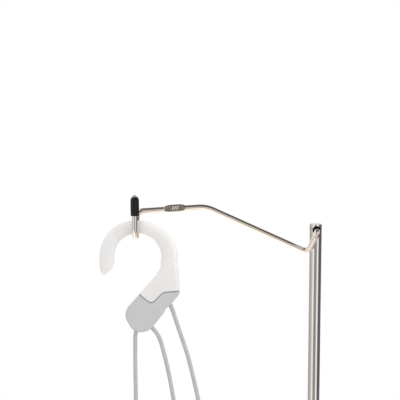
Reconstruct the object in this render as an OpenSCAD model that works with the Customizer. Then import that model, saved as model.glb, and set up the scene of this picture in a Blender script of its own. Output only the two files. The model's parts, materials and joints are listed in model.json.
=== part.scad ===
// Valet stand: a slim telescopic steel post on a round weighted base, with a bent wire arm that plugs
// into a cross hole near the top. A moulded hook with three hanging cords swings on the arm's end.
// Origin: centre of the base's underside, on the post's axis. +Z is up. The arm reaches along -X.
// Millimetres.

/* [Base] */
// Diameter of the steel base cover
base_d = 286; // [240:2:340]
// Thickness of the cast weight
base_weight_h = 14; // [10:1:20]
// Thickness of the rubber pad
base_pad_h = 3; // [2:0.5:5]
// Sheet thickness of the base cover
base_cover_t = 1.2; // [0.8:0.1:1.6]

/* [Post] */
// Height of the top of the post, lowered
post_top = 1150; // [1100:5:1300]
// Outer diameter of the upper tube
upper_d = 12.7; // [12:0.1:13.2]
// Wall of the upper tube
upper_wall = 1.0; // [0.8:0.1:1.5]
// Length of the upper tube
upper_len = 950; // [900:5:1000]
// Outer diameter of the lower tube
lower_d = 16; // [15.8:0.1:17]
// Inner diameter of the lower tube
lower_bore = 13.6; // [13.6:0.1:14]
// Height of the top of the lower tube
lower_top = 660; // [640:5:700]

/* [Arm] */
// Diameter of the arm's wire
rod_d = 6; // [5.5:0.1:6]
// Distance from the post's axis to the arm's end
arm_reach = 192.3; // [180:0.1:210]
// Height of the crest of the arm above the pivot
arm_crest = 25.9; // [20:0.1:30]
// Diameter of the cross hole in the post
pivot_hole_d = 8.5; // [8.5:0.1:9]
// Distance from the post's top down to the arm's pivot
pivot_drop = 7; // [7:0.5:9]
// Diameter of the black vinyl caps
cap_d = 9.0; // [8.6:0.1:9.5]

/* [Hanger] */
// Inner radius of the hook's ring
ring_inner_r = 25; // [24:0.5:27]
// Width of the ring's section, seen from the front
ring_w = 15.3; // [12:0.1:16]
// Depth of the ring's section
ring_t = 10.5; // [9:0.1:10.6]
// Thickness of the hook's neck and of the cord housing
neck_t = 12; // [11:0.1:12]
// Wall of the cord housing
housing_wall = 1.6; // [1.2:0.1:1.8]

/* [Cords] */
// Diameter of the three cords
cord_d = 4.5; // [4:0.1:5]
// Diameter of the stopper knots
knot_d = 11; // [9:0.5:12]

/* [Hidden] */
$fn = 64;

steel = "silver";
black = "#222222";
through = 60;            // length of a cutter that goes right through a small part
fit = 0.02;              // radial running fit

// Base heights
weight_top = base_pad_h + base_weight_h;
cover_top = weight_top + base_cover_t;
socket_floor = cover_top + 4;
cover_r = base_d / 2;
bolt_r = 4;
washer_top = 11.5;
washer_t = 1.5;

// Clamp
clamp_z = lower_top - 14;
clamp_collar_r = 13;
clamp_collar_h = 22;
clamp_boss_end = 26;
shoe_r = 2.9;
shoe_t = 3;
clamp_screw_r = 3;
knob_r = 15;
knob_t = 14;

// Arm: corners of the wire's centreline as [x, y, z, bend radius], from the pivot in the post
pivot_z = post_top - pivot_drop;
rod_r = rod_d / 2;
bend_swell = 0.03;       // a bent stretch is a little thicker than a straight one
arm_y = -4.6;
hook_r = 9.6;            // bend radius of the upturned hook at the arm's end
hook_low = -4.8;
tip_high = 35;
front_y = arm_y - 2 * hook_r;
arm_route = [
    [0, 15, 0, 0],
    [0, -14.2, 0, 5],
    [-9.2, arm_y, -23.2, 6.5],
    [-118.1, arm_y, arm_crest, 33],
    [-arm_reach, arm_y, arm_crest - 5, 7.2],
    [-arm_reach, arm_y, hook_low, hook_r],
    [-arm_reach, front_y, hook_low, hook_r],
    [-arm_reach, front_y, tip_high, 0]
];
pad_centre = -151.8;     // x of the middle of the flattened pad
pad_len = 22.5;
pad_r = 3.8;
pad_t = 4.5;
pad_rise = 0.75;         // how far the pad stands above the wire's centreline
cap_len = 21.5;
cap_cover = 17;          // length of wire inside the cap on the arm's end

// Hanger, drawn in its own flat frame: u to the right and w up from the top of the ring's hole
hanger_gap = 0.35;
hanger_shift = 1.1;      // how far the flat frame's origin is to the right of the wire's hook
hanger_y = (arm_y + front_y) / 2;
hanger_z = pivot_z + hook_low + rod_r + hanger_gap;
ring_centre = [0.8, -ring_inner_r - 0.1];
ring_mid_r = ring_inner_r + ring_w / 2;
tip_low = -44;
seam_gap = 0.5;
tang_t = 5;
tang_fit = 0.2;
screw_points = [[16, -80], [-3.5, -85], [38, -67.8]];
screw_r = 1.25;
boss_r = 2.6;
stop_len = 7;
stop_r = 3.3;
exit_r = 2.6;

// Corners as [u, w, radius], anticlockwise
neck_corners = [
    [3.1, -64.3, 0], [15.4, -74.3, 3], [27.9, -61.9, 6], [44.9, -60.6, 0.8], [43, -15, 22],
    [31, 2.2, 0], [24, -6, 0], [26.5, -14, 0], [26.2, -37, 14]
];
housing_corners = [
    [2.7, -64.8, 0.5], [-15.3, -84.9, 14], [-4.7, -105.8, 14], [11.7, -105.8, 16], [28, -85.5, 8],
    [31, -79.5, 3], [35.2, -76.6, 2.5], [45, -64.6, 2.5], [44.9, -60.6 - seam_gap, 0.3],
    [28, -62 - seam_gap, 6.5], [15.4, -74.5 - seam_gap, 3]
];
tang_corners = [[9, -85, 3], [21, -85, 3], [23, -80, 2], [23, -64, 0], [9, -64, 0]];

// Routes of the cords in the hanger's frame as [u, w], from the stops down to the knots
left_route = [
    [-0.9, -100.9], [-2, -107.5], [-2.5, -112], [-2.6, -121], [-2.7, -132], [-2.7, -143], [-2.6, -154],
    [-2.5, -165], [-2.4, -176], [-2.3, -187]
];
middle_route = [
    [13.4, -99.2], [16.8, -103], [19.7, -106.6], [22.4, -111], [24.5, -116], [26.4, -123], [28.8, -132],
    [31.1, -142], [33.2, -152], [35.1, -162], [36.8, -172], [38.2, -180], [39.3, -187]
];
right_route = [
    [33.2, -73.4], [35.3, -77.4], [37, -81.2], [39.1, -87.5], [41.6, -95.5], [44.5, -104.3], [47.5, -113.3],
    [50.5, -122.3], [53.4, -131.5], [56.1, -142], [58.4, -151.5], [60.6, -161], [62.7, -170.5],
    [64.7, -180], [66.1, -187]
];
knot_len = 12;

// ---------- geometry helpers ----------

function unit(v) = v / norm(v);

// Points of an arc of radius r that rounds the corner at, for corners in the plane or in space
function corner_arc(before, at, after, r, steps) =
    let (a = unit(before - at), b = unit(after - at), half = acos(a * b) / 2, turn = 180 - 2 * half,
         centre = at + unit(a + b) * r / sin(half), start = at + a * r / tan(half) - centre,
         end = at + b * r / tan(half) - centre)
    [for (i = [0:steps])
        centre + (start * sin(turn * (1 - i / steps)) + end * sin(turn * i / steps)) / sin(turn)];

function flat(c) = [c.x, c.y];

// A closed outline with each corner [x, y, radius] rounded by its own radius
function rounded(corners, steps = 6) =
    let (n = len(corners))
    [for (i = [0:n - 1]) each corners[i].z == 0 ? [flat(corners[i])]
        : corner_arc(flat(corners[(i + n - 1) % n]), flat(corners[i]), flat(corners[(i + 1) % n]),
                     corners[i].z, steps)];

// The corners of an anticlockwise outline moved inwards by d; a negative d moves them outwards
function inset(corners, d) =
    let (n = len(corners))
    [for (i = [0:n - 1])
        let (q = corners[i], a = unit(flat(corners[(i + n - 1) % n]) - flat(q)),
             b = unit(flat(corners[(i + 1) % n]) - flat(q)), side = sign(cross(-a, b)),
             at = flat(q) + side * unit(a + b) * d / sin(acos(a * b) / 2))
        [at.x, at.y, max(0, q.z - side * d)]];

// Lathe a profile of [radius, height, corner radius] about Z
module lathe(corners) rotate_extrude() polygon(rounded(corners));

// A plate of the given outline, from depth near to depth far, in the hanger's flat frame
module plate(corners, near, far)
    translate([0, 0, near]) linear_extrude(far - near) polygon(rounded(corners));

// A cylinder between two points
module rod_between(a, b, r)
    let (v = b - a)
        translate(a) rotate([0, acos(v.z / norm(v)), atan2(v.y, v.x)]) cylinder(h = norm(v), r = r);

// The rounded stretch of wire at the corner at, bent to radius bend
module rod_bend(before, at, after, bend, r)
    let (a = unit(before - at), b = unit(after - at), half = acos(a * b) / 2,
         centre = at + unit(a + b) * bend / sin(half), x = unit(at + a * bend / tan(half) - centre),
         y = -a, z = cross(x, y))
        multmatrix([[x.x, y.x, z.x, centre.x], [x.y, y.y, z.y, centre.y], [x.z, y.z, z.z, centre.z]])
            rotate_extrude(angle = 180 - 2 * half) translate([bend, 0]) circle(r = r);

function place(c) = [c[0], c[1], c[2]];

// Length of straight wire that the bend at corner i takes from each side
function bend_run(route, i) =
    route[i][3] == 0 ? 0
    : let (a = unit(place(route[i - 1]) - place(route[i])), b = unit(place(route[i + 1]) - place(route[i])))
        route[i][3] / tan(acos(a * b) / 2);

// Straight stretches of wire run a little way into the bends, so that they join as one solid
module bent_rod(route, r, run_in = 0.2) {
    last = len(route) - 1;
    for (i = [0:last - 1])
        let (a = place(route[i]), b = place(route[i + 1]), along = unit(b - a),
             start = a + along * (bend_run(route, i) - (i > 0 ? run_in : 0)),
             end = b - along * (bend_run(route, i + 1) - (i + 1 < last ? run_in : 0)))
            rod_between(start, end, r);
    for (i = [1:last - 1])
        rod_bend(place(route[i - 1]), place(route[i]), place(route[i + 1]), route[i][3], r + bend_swell);
}

// A round cord swept along a flat route, with its rings square to the route
module cord_tube(route, d, sides = 10)
    let (n = len(route),
         rings = [for (i = [0:n - 1])
             let (along = unit(route[min(i + 1, n - 1)] - route[max(i - 1, 0)]), across = [-along.y, along.x])
             for (k = [0:sides - 1])
                 let (side = across * cos(360 * k / sides) * d / 2)
                 [route[i].x + side.x, route[i].y + side.y, sin(360 * k / sides) * d / 2]],
         walls = [for (i = [0:n - 2]) for (k = [0:sides - 1])
             let (m = (k + 1) % sides)
             [i * sides + k, i * sides + m, (i + 1) * sides + m, (i + 1) * sides + k]],
         caps = [[for (k = [sides - 1:-1:0]) k], [for (k = [0:sides - 1]) (n - 1) * sides + k]])
        polyhedron(rings, concat(walls, caps));

// ---------- base and lower post ----------

module base_pad() color(black) cylinder(h = base_pad_h, r = cover_r - 4, $fn = 128);

module base_weight() color("dimgray") difference() {
    lathe([[0, base_pad_h, 0], [cover_r - 1.4, base_pad_h, 0], [cover_r - 1.4, weight_top - 0.1, 5],
           [0, weight_top - 0.1, 0]]);
    cylinder(h = washer_top, r = 13);
    cylinder(h = through, r = bolt_r + 0.5);
}

module base_cover() color(steel) lathe([
    [bolt_r + 0.5, weight_top, 0], [cover_r - base_cover_t, weight_top, 5],
    [cover_r - base_cover_t, base_pad_h + 0.6, 0], [cover_r, base_pad_h + 0.6, 0],
    [cover_r, cover_top, 6.2], [bolt_r + 0.5, cover_top, 0]]);

module base_washer() color(steel) translate([0, 0, washer_top - washer_t]) difference() {
    cylinder(h = washer_t, r = 11);
    translate([0, 0, -1]) cylinder(h = washer_t + 2, r = bolt_r + 0.2);
}

module base_bolt() color("gray") {
    head_h = 5.3;
    shank_len = 34;
    translate([0, 0, washer_top - washer_t - head_h]) cylinder(h = head_h, r = 7.5, $fn = 6);
    translate([0, 0, washer_top - washer_t]) cylinder(h = shank_len, r = bolt_r);
}

module post_socket() color(steel) difference() {
    lathe([[0, cover_top, 0], [24, cover_top, 0], [24, socket_floor, 1.5], [12, socket_floor, 3],
           [12, socket_floor + 28, 1.5], [0, socket_floor + 28, 0]]);
    translate([0, 0, socket_floor]) cylinder(h = through, d = lower_d);
    cylinder(h = through, r = bolt_r + 0.5);
}

// A hole through one wall for the clamp shoe
module shoe_hole(r) translate([0, 0, clamp_z]) rotate([0, 90, 0]) cylinder(h = through, r = r);

module lower_tube() color(steel) difference() {
    translate([0, 0, socket_floor]) cylinder(h = lower_top - socket_floor, d = lower_d);
    translate([0, 0, socket_floor - 1]) cylinder(h = lower_top, d = lower_bore);
    shoe_hole(shoe_r + 0.2);
}

module lower_tube_plug() color("gray") difference() {
    translate([0, 0, socket_floor]) cylinder(h = 25, d = lower_bore);
    cylinder(h = socket_floor + 23, r = bolt_r);
}

module guide_bush() color(black) difference() {
    union() {
        translate([0, 0, lower_top - 30]) cylinder(h = 30, d = lower_bore);
        translate([0, 0, lower_top]) cylinder(h = 2, d = lower_d);
    }
    translate([0, 0, lower_top - 31]) cylinder(h = through, r = upper_d / 2 + fit);
    shoe_hole(shoe_r + 0.2);
}

module clamp_collar() color(black) difference() {
    union() {
        translate([0, 0, clamp_z]) lathe([
            [0, -clamp_collar_h / 2, 0], [clamp_collar_r, -clamp_collar_h / 2, 2],
            [clamp_collar_r, clamp_collar_h / 2, 2], [0, clamp_collar_h / 2, 0]]);
        translate([0, 0, clamp_z]) rotate([0, 90, 0]) cylinder(h = clamp_boss_end, r = 8);
    }
    translate([0, 0, clamp_z - through / 2]) cylinder(h = through, d = lower_d);
    shoe_hole(clamp_screw_r + 0.05);
}

// ---------- clamp ----------

module clamp_shoe() color("goldenrod")
    translate([upper_d / 2 + 0.05, 0, clamp_z]) rotate([0, 90, 0]) cylinder(h = shoe_t, r = shoe_r);

module clamp_screw() color("gray")
    translate([upper_d / 2 + 0.1 + shoe_t, 0, clamp_z]) rotate([0, 90, 0])
        cylinder(h = clamp_boss_end + 1 + knob_t / 2 - upper_d / 2 - 0.1 - shoe_t, r = clamp_screw_r);

module clamp_knob() color(black)
    translate([clamp_boss_end + 1, 0, clamp_z]) rotate([0, 90, 0]) difference() {
        lathe([[0, 0, 0], [knob_r - 5, 0, 1], [knob_r, 4, 2], [knob_r, knob_t, 3], [0, knob_t, 0]]);
        translate([0, 0, -1]) cylinder(h = knob_t / 2 + 1, r = clamp_screw_r);
        for (a = [0:60:300]) rotate(a) translate([knob_r + 3, 0, -1]) cylinder(h = knob_t + 2, r = 5);
    }

// ---------- upper post ----------

module upper_tube() color(steel) difference() {
    translate([0, 0, post_top - upper_len]) cylinder(h = upper_len, d = upper_d);
    translate([0, 0, post_top - upper_len - 1]) cylinder(h = upper_len + 2, r = upper_d / 2 - upper_wall);
    translate([0, through / 2, pivot_z + 0.9]) rotate([90, 0, 0]) cylinder(h = through, d = pivot_hole_d);
}

module glide_plug() color(black) translate([0, 0, post_top - upper_len]) {
    translate([0, 0, -6]) cylinder(h = 6, r = lower_bore / 2 - fit);
    cylinder(h = 12, r = upper_d / 2 - upper_wall);
}

module top_plug() color(steel)
    translate([0, 0, post_top - 1.5]) cylinder(h = 1.5, r = upper_d / 2 - upper_wall);

// ---------- arm ----------

// A frame at the middle of the flattened pad, with Z along the wire towards the post
module at_pad() {
    a = place(arm_route[4]);
    v = unit(place(arm_route[3]) - a);
    translate(a + v * (pad_centre - a.x) / v.x) rotate([0, 90 - atan2(v.z, v.x), 0]) children();
}

module arm_rod() color(steel) translate([0, 0, pivot_z]) difference() {
    union() {
        bent_rod(arm_route, rod_r);
        at_pad() translate([-pad_rise, 0, 0]) lathe([
            [0, -pad_len / 2, 0], [pad_r, -pad_len / 2, 3.2], [pad_r, pad_len / 2, 3.2],
            [0, pad_len / 2, 0]]);
    }
    for (side = [-1, 1]) at_pad() translate([0, side * (pad_t / 2 + 5), 0])
        cube([20, 10, pad_len - 2], center = true);
}

// A soft cap on the end of the wire: it stands on Z = 0 with its bore up to the given depth
module vinyl_cap(length, bore) color(black) difference() {
    lathe([[0, 0, 0], [cap_d / 2, 0, 1], [cap_d / 2, length - 5, 2.5], [1.6, length, 1.2], [0, length, 0]]);
    translate([0, 0, -1]) cylinder(h = bore + 1, r = rod_r);
}

module arm_tip_cap()
    translate([-arm_reach, front_y, pivot_z + tip_high - cap_cover]) vinyl_cap(cap_len, cap_cover);

module arm_tail_cap() translate([0, 7.5, pivot_z]) rotate([-90, 0, 0]) vinyl_cap(12, 7.5);

// ---------- hanger ----------

// Turns the hanger's flat frame upright: its depth axis points to the front, along -Y
module in_hanger()
    translate([hanger_shift - arm_reach, hanger_y, hanger_z]) rotate([90, 0, 0]) children();

module ring_section() {
    for (side = [-1, 1]) translate([side * (ring_w - ring_t) / 2, 0]) circle(d = ring_t);
    square([ring_w - ring_t, ring_t], center = true);
}

module tang(grow) plate(inset(tang_corners, -grow), -tang_t / 2 - grow, tang_t / 2 + grow);

module hook_body() color("#e9e7e6") in_hanger() difference() {
    union() {
        translate(ring_centre) rotate_extrude(angle = 180) translate([ring_mid_r, 0]) ring_section();
        intersection() {
            translate([ring_centre.x - ring_mid_r, tip_low, 0]) rotate([-90, 0, 0])
                linear_extrude(ring_centre.y - tip_low) ring_section();
            translate([-40.5, -27.5, -through / 2]) cylinder(h = through, r = 17.3);
        }
        plate(neck_corners, -neck_t / 2, neck_t / 2);
        tang(0);
    }
    translate([screw_points[0].x, screw_points[0].y, -through / 2]) cylinder(h = through, r = screw_r + 0.2);
}

// The hole that a cord leaves the housing by, along the first stretch of its route
module exit_hole(route)
    let (v = unit(route[1] - route[0]), a = route[0] - v * 0.5, b = route[0] + v * 8)
        rod_between([a.x, a.y, 0], [b.x, b.y, 0], exit_r);

// Half of the cord housing, from the parting plane to the outer face
module housing_half() {
    face = neck_t / 2;
    difference() {
        union() {
            difference() {
                plate(housing_corners, 0, face);
                plate(inset(housing_corners, housing_wall), -1, face - housing_wall);
            }
            for (p = screw_points) translate(p) cylinder(h = face - housing_wall + 0.1, r = boss_r);
        }
        tang(tang_fit);
        for (route = [left_route, middle_route, right_route]) exit_hole(route);
    }
}

module housing_front() color("#c3c3c3") in_hanger() difference() {
    housing_half();
    for (p = screw_points) translate([p.x, p.y, -1]) cylinder(h = 5, r = screw_r);
}

module housing_rear() color("#c3c3c3") in_hanger() difference() {
    mirror([0, 0, 1]) housing_half();
    for (p = screw_points) translate([p.x, p.y, -neck_t / 2 - 1]) {
        cylinder(h = neck_t, r = screw_r + 0.2);
        cylinder(h = 1 + 1.4, r = 2.4);
    }
}

module housing_screws() color("gray") in_hanger()
    for (p = screw_points) translate([p.x, p.y, -neck_t / 2 + 0.2]) {
        cylinder(h = 1.2, r = 2.3);
        cylinder(h = neck_t / 2 + 3.6, r = screw_r);
    }

module cord_stops() color("goldenrod") in_hanger()
    for (route = [left_route, middle_route, right_route])
        let (v = unit(route[1] - route[0]), a = route[0] - v * stop_len)
            rod_between([a.x, a.y, 0], [route[0].x, route[0].y, 0], stop_r);

module cord(route) color("#b2b2ae") in_hanger() cord_tube(route, cord_d);

module knot(route) color("#b2b2ae") in_hanger()
    let (n = len(route), v = unit(route[n - 1] - route[n - 2]))
        translate(route[n - 1]) rotate([90, 0, atan2(v.x, -v.y)])
            lathe([[0, 0, 0], [3.2, 0, 0.8], [knot_d / 2, 3.5, 3], [knot_d / 2, 8.5, 3],
                   [3.2, knot_len, 0.8], [0, knot_len, 0]]);

base_pad();
base_weight();
base_cover();
base_bolt();
base_washer();
post_socket();
lower_tube();
lower_tube_plug();
guide_bush();
clamp_collar();
clamp_shoe();
clamp_screw();
clamp_knob();
upper_tube();
glide_plug();
top_plug();
arm_rod();
arm_tip_cap();
arm_tail_cap();
hook_body();
housing_front();
housing_rear();
housing_screws();
cord_stops();
cord(left_route);  // cord_left
cord(middle_route);  // cord_middle
cord(right_route);  // cord_right
knot(left_route);  // knot_left
knot(middle_route);  // knot_middle
knot(right_route);  // knot_right
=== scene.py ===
"""Valet stand: the looks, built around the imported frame, in the frame's own axes.

Lengths are millimetres unless a line says otherwise, and solid() turns them into Blender's metres. Each piece
is a smooth mesh that stands for the CAD node of the same shape, so the sizes below repeat the CAD source's.
"""

import json
import math

import bmesh
import bpy
import numpy as np
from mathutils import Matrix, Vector


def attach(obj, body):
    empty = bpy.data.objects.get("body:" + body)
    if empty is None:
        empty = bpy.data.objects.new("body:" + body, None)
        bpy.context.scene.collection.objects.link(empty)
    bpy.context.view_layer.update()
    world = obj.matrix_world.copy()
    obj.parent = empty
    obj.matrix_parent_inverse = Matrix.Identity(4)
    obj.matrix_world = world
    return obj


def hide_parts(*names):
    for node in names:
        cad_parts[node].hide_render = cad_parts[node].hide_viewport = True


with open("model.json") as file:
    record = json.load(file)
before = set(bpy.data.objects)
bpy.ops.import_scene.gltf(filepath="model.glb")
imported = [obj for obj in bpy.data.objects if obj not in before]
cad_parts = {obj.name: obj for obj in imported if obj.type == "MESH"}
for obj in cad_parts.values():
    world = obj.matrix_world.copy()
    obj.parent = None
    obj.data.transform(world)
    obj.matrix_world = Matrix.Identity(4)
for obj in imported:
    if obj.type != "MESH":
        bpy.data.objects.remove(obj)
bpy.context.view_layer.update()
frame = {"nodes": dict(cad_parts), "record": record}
scene = bpy.context.scene
MM = 0.001

# ---------- sizes that repeat the CAD source ----------

POST_TOP = 1150
PIVOT_Z = 1143          # height of the arm's tail, which the arm turns about
ARM_REACH = 192.3       # from the post's axis to the wire's upturned end
ARM_Y = -4.6            # the wire runs in front of the post's axis
ROD_R = 3
HOOK_R = 9.6            # radius of the wire's U
HOOK_LOW = -4.8         # the U's lowest centreline, above PIVOT_Z
TIP_HIGH = 35           # the upturned tip, above PIVOT_Z
FRONT_Y = ARM_Y - 2 * HOOK_R
CLAMP_Z = 646
LOWER_TOP = 660
HANGER_SHIFT = 1.1      # the hook hangs a little off the U's lowest point
RING_GAP = 0.35
HANGER = np.array([HANGER_SHIFT - ARM_REACH, (ARM_Y + FRONT_Y) / 2, PIVOT_Z + HOOK_LOW + ROD_R + RING_GAP])

# The hanger's own frame is (right, up) from HANGER, the top of the hook's hole. The cords' routes are in it.
CORD_D = 4.5
LEFT_ROUTE = [
    (-0.9, -100.9), (-2, -107.5), (-2.5, -112), (-2.6, -121), (-2.7, -132), (-2.7, -143), (-2.6, -154),
    (-2.5, -165), (-2.4, -176), (-2.3, -187),
]
MIDDLE_ROUTE = [
    (13.4, -99.2), (16.8, -103), (19.7, -106.6), (22.4, -111), (24.5, -116), (26.4, -123), (28.8, -132),
    (31.1, -142), (33.2, -152), (35.1, -162), (36.8, -172), (38.2, -180), (39.3, -187),
]
RIGHT_ROUTE = [
    (33.2, -73.4), (35.3, -77.4), (37, -81.2), (39.1, -87.5), (41.6, -95.5), (44.5, -104.3), (47.5, -113.3),
    (50.5, -122.3), (53.4, -131.5), (56.1, -142), (58.4, -151.5), (60.6, -161), (62.7, -170.5),
    (64.7, -180), (66.1, -187),
]

# ---------- camera, with its place in metres ----------

camera = bpy.data.objects.new("camera", bpy.data.cameras.new("camera"))
camera.data.sensor_width = 36
camera.data.lens = 62.19
camera.location = (-0.12455, -0.73861, 1.23506)
camera.rotation_euler = (math.radians(85.4), 0, 0)
bpy.context.collection.objects.link(camera)
scene.camera = camera
scene.view_settings.view_transform = "Standard"


# ---------- node helpers ----------


def add(tree, kind, inputs=(), **settings):
    """A new node with its settings, and its inputs from values or from other nodes' outputs."""
    node = tree.nodes.new(kind)
    for key, value in settings.items():
        setattr(node, key, value)
    for key, value in dict(inputs).items():
        if isinstance(value, bpy.types.NodeSocket):
            tree.links.new(value, node.inputs[key])
        else:
            node.inputs[key].default_value = value
    return node


def ramp(tree, value, stops):
    """A colour ramp over value, with stops of (position, colour)."""
    node = add(tree, "ShaderNodeValToRGB", {"Fac": value})
    marks = node.color_ramp.elements
    while len(marks) < len(stops):
        marks.new(0.5)
    for mark, (at, colour) in zip(marks, stops):
        mark.position = at
        mark.color = (*colour, 1)
    return node.outputs["Color"]


def shades(colour, spread):
    """A darker and a lighter shade of colour."""
    return [tuple(min(1, c * (1 + s * spread)) for c in colour) for s in (-1, 1)]


def surface(
    name, colour, rough, metal=0.0, patch=40, spread=0.06, grain=1500, depth=0.02, stretch=(1, 1, 1),
    rough_spread=0.05, polar=False, sockets=(),
):
    """A procedural material: patchy colour, grained roughness and a fine bump.

    patch and grain are noise scales per metre, and depth is the bump's height. stretch draws the grain out
    along an axis, and polar turns it into rings round the post's axis, as on a spun sheet.
    """
    material = bpy.data.materials.new(name)
    material.use_nodes = True
    tree = material.node_tree
    shader = tree.nodes["Principled BSDF"]
    shader.inputs["Metallic"].default_value = metal
    for key, value in dict(sockets).items():
        shader.inputs[key].default_value = value
    where = add(tree, "ShaderNodeTexCoord").outputs["Object"]
    place = where
    if polar:
        flat = add(tree, "ShaderNodeVectorMath", {0: where, 1: (1, 1, 0)}, operation="MULTIPLY").outputs[0]
        radius = add(tree, "ShaderNodeVectorMath", {0: flat}, operation="LENGTH").outputs["Value"]
        place = add(tree, "ShaderNodeCombineXYZ", {"X": radius}).outputs[0]
    place = add(tree, "ShaderNodeMapping", {"Vector": place, "Scale": stretch}).outputs[0]
    patches = add(
        tree, "ShaderNodeTexNoise", {"Vector": where, "Scale": patch, "Detail": 4, "Roughness": 0.6}
    ).outputs["Fac"]
    fine = add(
        tree, "ShaderNodeTexNoise", {"Vector": place, "Scale": grain, "Detail": 3, "Roughness": 0.55}
    ).outputs["Fac"]
    low, high = shades(colour, spread)
    tree.links.new(ramp(tree, patches, [(0.3, low), (0.7, high)]), shader.inputs["Base Color"])
    both = add(tree, "ShaderNodeMath", {0: patches, 1: fine}, operation="ADD").outputs[0]
    roughness = add(tree, "ShaderNodeMapRange", {
        "Value": both, "From Min": 0.6, "From Max": 1.4,
        "To Min": rough - rough_spread, "To Max": rough + rough_spread}).outputs[0]
    tree.links.new(roughness, shader.inputs["Roughness"])
    bump = add(tree, "ShaderNodeBump", {"Height": fine, "Strength": 0.5, "Distance": depth * MM})
    tree.links.new(bump.outputs[0], shader.inputs["Normal"])
    return material


MATERIALS = {
    "rubber": surface("moulded_rubber", (0.028, 0.028, 0.028), 0.82, patch=30, grain=900, depth=0.12),
    "cast_iron": surface("primed_casting", (0.1, 0.1, 0.1), 0.7, grain=420, depth=0.3),
    "brushed_steel": surface(
        "brushed_steel", (0.60, 0.59, 0.58), 0.27, 1.0, patch=14, spread=0.04, grain=2600, depth=0.012,
        rough_spread=0.06, polar=True),
    "polished_steel": surface(
        "polished_tube", (0.76, 0.74, 0.73), 0.085, 1.0, patch=25, spread=0.03, grain=900, depth=0.002,
        stretch=(1, 1, 0.03), rough_spread=0.025),
    "polished_wire": surface(
        "polished_wire", (0.75, 0.735, 0.715), 0.11, 1.0, patch=60, spread=0.05, grain=1400, depth=0.004,
        rough_spread=0.03),
    "zinc_steel": surface("zinc_plate", (0.58, 0.58, 0.57), 0.34, 1.0, patch=90, grain=1800, depth=0.01),
    "black_plastic": surface("grained_black_plastic", (0.03, 0.03, 0.032), 0.46, grain=2400, depth=0.04),
    "brass": surface("turned_brass", (0.72, 0.53, 0.25), 0.3, 1.0, patch=120, grain=1800, depth=0.01),
    "black_vinyl": surface(
        "dipped_vinyl", (0.004, 0.004, 0.0042), 0.2, patch=120, spread=0.15, grain=700, depth=0.02,
        rough_spread=0.04, sockets={"Specular IOR Level": 0.32}),
    "white_plastic": surface(
        "milky_plastic", (0.80, 0.785, 0.775), 0.26, patch=35, spread=0.012, grain=1100, depth=0.012,
        sockets={"Subsurface Weight": 0.35, "Subsurface Radius": (1, 0.82, 0.72), "Subsurface Scale": 0.004,
                 "IOR": 1.49}),
    "grey_plastic": surface(
        "satin_grey_plastic", (0.545, 0.545, 0.545), 0.42, patch=50, spread=0.02, grain=2200, depth=0.02),
    "braided_cord": surface(
        "cord_yarn", (0.47, 0.47, 0.45), 0.78, patch=700, spread=0.14, grain=4200, depth=0.08,
        sockets={"Sheen Weight": 0.25, "Sheen Roughness": 0.5}),
}
PAD_FACE = surface(
    "stamped_pad", (0.3, 0.285, 0.265), 0.24, 1.0, patch=900, spread=0.3, grain=1300, depth=0.08,
    rough_spread=0.1)
# A lighter grey for the caps' nibs: a painted highlight on the black vinyl.
NIB_PAINTED_HIGHLIGHT = surface("vinyl_nib_painted_highlight", (0.2, 0.2, 0.21), 0.4, patch=700, spread=0.5, grain=900, depth=0.05)
# Near-black for the post's bore, its cross hole and the wire inside it: painted shade, not the steel's
# colour.
BORE_PAINTED_SHADE = surface("bore_painted_shade", (0.02, 0.02, 0.02), 0.7, grain=900, depth=0.05)
STAMP = surface("stamp_edges", (0.9, 0.89, 0.87), 0.3, 1.0, patch=900, grain=2400, depth=0.01)


# ---------- mesh helpers ----------


def unit(v):
    """The direction of v, with length 1."""
    v = np.asarray(v, float)
    return v / np.linalg.norm(v)


def fillet(corners, closed=False, steps=8):
    """Points along corners of (coordinates..., radius), each corner turned into an arc of that many steps."""
    places = [np.array(c[:-1], float) for c in corners]
    points = []
    for i, corner in enumerate(corners):
        ends = not closed and i in (0, len(corners) - 1)
        if ends:
            points.append(places[i])
            continue
        if corner[-1] <= 0:
            points += [places[i]] * (steps + 1 if closed else 1)
            continue
        a = unit(places[i - 1] - places[i])
        b = unit(places[(i + 1) % len(places)] - places[i])
        half = math.acos(float(a @ b)) / 2
        turn = math.pi - 2 * half
        centre = places[i] + unit(a + b) * corner[-1] / math.sin(half)
        start = places[i] + a * corner[-1] / math.tan(half) - centre
        end = places[i] + b * corner[-1] / math.tan(half) - centre
        for k in range(steps + 1):
            q = k / steps
            points.append(
                centre + (start * math.sin(turn * (1 - q)) + end * math.sin(turn * q)) / math.sin(turn))
    return np.array(points)


def inset(corners, d):
    """The corners of an anticlockwise outline of (x, y, radius), moved inwards by d."""
    moved = []
    for i, (x, y, radius) in enumerate(corners):
        q = np.array([x, y], float)
        a = unit(np.array(corners[i - 1][:2]) - q)
        b = unit(np.array(corners[(i + 1) % len(corners)][:2]) - q)
        side = 1 if -a[0] * b[1] + a[1] * b[0] > 0 else -1
        at = q + side * unit(a + b) * d / math.sin(math.acos(float(a @ b)) / 2)
        moved.append((at[0], at[1], max(0, radius - side * d)))
    return moved


def spaced(points, step):
    """The same line with its points about step apart."""
    points = np.asarray(points, float)
    run = np.concatenate([[0], np.cumsum(np.linalg.norm(np.diff(points, axis=0), axis=1))])
    keep = np.concatenate([[True], np.diff(run) > 1e-9])
    at = np.linspace(0, run[-1], max(2, round(run[-1] / step) + 1))
    return np.stack([np.interp(at, run[keep], points[keep, k]) for k in range(points.shape[1])], axis=1)


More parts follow.
